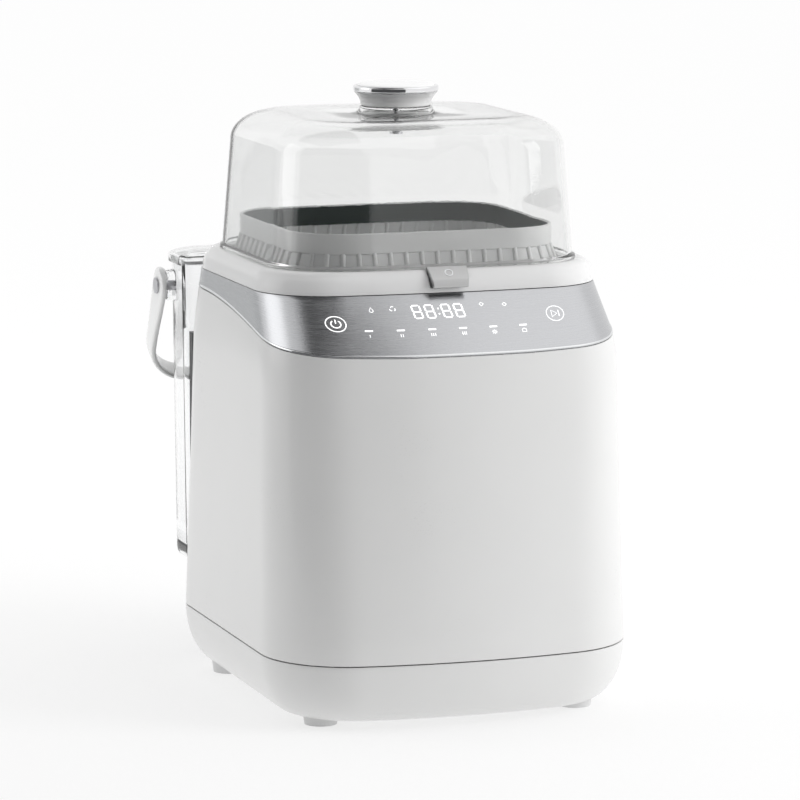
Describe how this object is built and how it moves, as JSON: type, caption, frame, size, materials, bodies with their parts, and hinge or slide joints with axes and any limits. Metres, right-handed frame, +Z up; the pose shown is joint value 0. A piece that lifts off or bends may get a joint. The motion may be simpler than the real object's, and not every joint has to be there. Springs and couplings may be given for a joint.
{
  "type": "bottle sterilizer",
  "caption": "Tabletop washer and steriliser for baby bottles: rounded white body, sloped metal control band, clear lift-off dome over a tray, clear water tank with a bail handle at the back.",
  "frame": {"origin": "on the table, under the middle of the whole object's bounding box", "axes": "+Z up, -Y towards the front with the control band, +X to the right seen from the front"},
  "size_m": [0.299, 0.404, 0.4752],
  "materials": {
    "white_shell": "satin moulded white plastic",
    "band_metal": "brushed along the width, satin",
    "bright_metal": "polished",
    "latch_metal": "satin silver",
    "steel": "pressed stainless steel",
    "clear_plastic": "clear polished plastic",
    "frosted_plastic": "frosted translucent plastic",
    "basket_plastic": "pale translucent plastic",
    "dark_liner": "dark satin",
    "inner_plastic": "light grey moulded plastic",
    "dark_plastic": "dark moulded plastic",
    "motor_can": "zinc-coated can",
    "rubber_grey": "soft light grey rubber",
    "silicone": "milky silicone",
    "board": "circuit board",
    "display": "dark display block"
  },
  "bodies": {
    "stand": {"outer_housing": "white_shell", "control_band": "band_metal", "base_tub": "white_shell", "rubber_feet": "rubber_grey", "base_screws": "steel", "top_deck": "inner_plastic", "deck_screws": "steel", "chamber_seal": "silicone", "wash_chamber": "steel", "sump_cup": "dark_plastic", "filter_screen": "steel", "spray_post": "steel", "heater_plate": "steel", "suction_pipe": "dark_plastic", "pump_casing": "dark_plastic", "pump_motor": "motor_can", "fan_housing": "inner_plastic", "fan_motor": "motor_can", "air_duct": "inner_plastic", "air_heater": "motor_can", "power_board": "board", "control_board": "board", "display_module": "display", "touch_pads": "silicone", "rear_panel": "dark_plastic", "dock_shelf": "dark_plastic", "dock_nozzle": "inner_plastic", "power_inlet": "dark_plastic", "feed_hose": "silicone"},
    "rack": {"bottle_rack": "inner_plastic", "rack_pegs": "inner_plastic", "rack_feet": "inner_plastic"},
    "spray": {"spray_arm": "inner_plastic"},
    "impeller": {"pump_impeller": "dark_plastic"},
    "rotor": {"fan_rotor": "dark_plastic"},
    "ring": {"lid_frame": "clear_plastic", "frame_liner": "frosted_plastic", "latch_pin": "steel"},
    "latch": {"latch_button": "latch_metal"},
    "dome": {"dome_cover": "clear_plastic", "dome_seal": "silicone", "knob_base": "white_shell", "knob_body": "white_shell", "knob_ring": "bright_metal", "knob_cap": "white_shell", "knob_screw": "steel"},
    "basket": {"item_basket": "basket_plastic", "basket_liner": "dark_liner"},
    "tank": {"tank_body": "clear_plastic", "handle_pins": "steel", "valve_body": "inner_plastic", "valve_cage": "inner_plastic", "valve_spring": "steel"},
    "tank_cover": {"tank_lid": "clear_plastic", "tank_seal": "silicone"},
    "bail": {"tank_handle": "clear_plastic"},
    "plunger": {"valve_plunger": "inner_plastic"}
  },
  "joints": [
    {"name": "rack_lift", "type": "slide", "parent": "stand", "child": "rack", "axis": [0, 0, 1], "range_m": [0, 0.02]},
    {"name": "spray_spin", "type": "hinge", "parent": "stand", "child": "spray", "pos_m": [0, -0.015, 0.186], "axis": [0, 0, 1], "continuous": true},
    {"name": "impeller_spin", "type": "hinge", "parent": "stand", "child": "impeller", "pos_m": [0, -0.015, 0.1], "axis": [0, 0, 1], "continuous": true},
    {"name": "rotor_spin", "type": "hinge", "parent": "stand", "child": "rotor", "pos_m": [-0.118, 0.022, 0.122], "axis": [1, 0, 0], "continuous": true},
    {"name": "ring_lift", "type": "slide", "parent": "stand", "child": "ring", "axis": [0, 0, 1], "range_m": [0, 0.1]},
    {"name": "latch_press", "type": "hinge", "parent": "ring", "child": "latch", "pos_m": [0, -0.1372, 0.3375], "axis": [-1, 0, 0], "range_deg": [0, 6], "stiffness_Nm_per_rad": 0.5, "springref_deg": -5.73},
    {"name": "dome_lift", "type": "slide", "parent": "ring", "child": "dome", "axis": [0, 0, 1], "range_m": [0, 0.15]},
    {"name": "basket_lift", "type": "slide", "parent": "ring", "child": "basket", "axis": [0, 0, 1], "range_m": [0, 0.05]},
    {"name": "tank_lift", "type": "slide", "parent": "stand", "child": "tank", "axis": [0, 0, 1], "range_m": [0, 0.12]},
    {"name": "tank_lid_lift", "type": "slide", "parent": "tank", "child": "tank_cover", "axis": [0, 0, 1], "range_m": [0, 0.045]},
    {"name": "bail_swing", "type": "hinge", "parent": "tank", "child": "bail", "pos_m": [0, 0.15, 0.3015], "axis": [1, 0, 0], "range_deg": [0, 151.5]},
    {"name": "plunger_rise", "type": "slide", "parent": "tank", "child": "plunger", "axis": [0, 0, 1], "range_m": [0, 0.004], "stiffness_N_per_m": 150, "springref_m": -0.002, "deforming": ["valve_spring"]}
  ]
}
